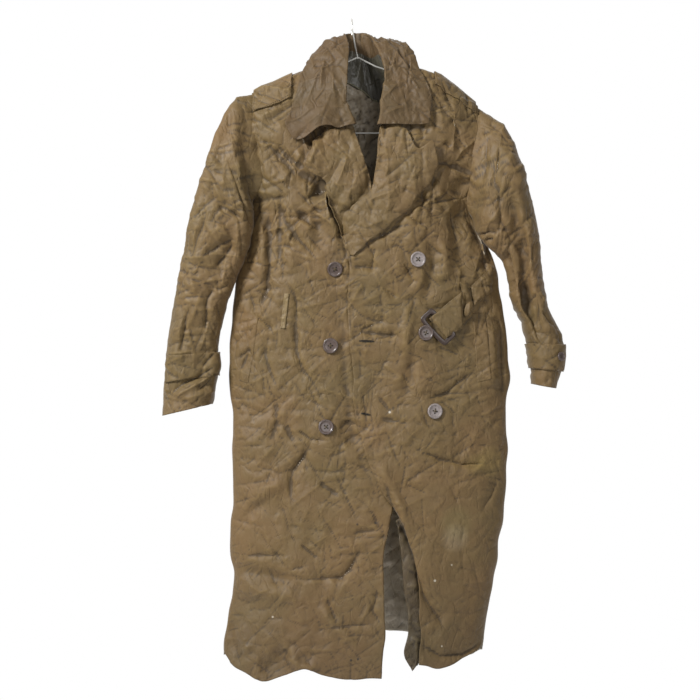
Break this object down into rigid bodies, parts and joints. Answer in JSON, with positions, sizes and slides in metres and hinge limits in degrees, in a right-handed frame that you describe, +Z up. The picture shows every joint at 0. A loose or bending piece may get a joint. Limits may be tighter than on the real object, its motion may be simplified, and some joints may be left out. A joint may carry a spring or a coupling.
{
  "type": "double-breasted raincoat on a wire hanger",
  "caption": "Long belted double-breasted raincoat hung open-necked on a wire hanger, with lapels, shoulder straps, slanted pockets and strapped cuffs.",
  "frame": {"origin": "inner top of the hanger's hook, where a rod carries it", "axes": "+Z up along the coat's length, +Y towards the back panel, the fronts face -Y, +X to the wearer's left"},
  "size_m": [0.7609, 0.1403, 1.2455],
  "materials": {
    "cloth": "crumpled proofed cotton, olive brown, slightly glossy",
    "cloth_shade": "the same proofed cloth, in the shade",
    "button_plastic": "moulded taupe-brown buttons, polished",
    "buckle_plastic": "moulded dark brown frame, worn",
    "wire": "thin pale galvanised wire"
  },
  "bodies": {
    "root": {"back": "cloth_shade", "front_right": "cloth", "front_left": "cloth", "sleeve_right": "cloth", "sleeve_left": "cloth", "collar": "cloth", "lapel_left": "cloth", "lapel_right": "cloth", "shoulder_strap_right": "cloth", "shoulder_strap_left": "cloth", "cuff_strap_right": "cloth", "cuff_strap_left": "cloth", "button_cuff_left": "button_plastic", "pocket_welt_right": "cloth", "pocket_welt_left": "cloth", "belt_loop_right": "cloth_shade", "belt_back": "cloth", "belt_side": "cloth", "belt_end": "cloth", "belt_knot": "cloth_shade", "buckle": "buckle_plastic", "button_right_top": "button_plastic", "button_right_middle": "button_plastic", "button_right_low": "button_plastic", "button_left_top": "button_plastic", "button_left_middle": "button_plastic", "button_left_low": "button_plastic", "hanger": "wire"}
  },
  "joints": []
}
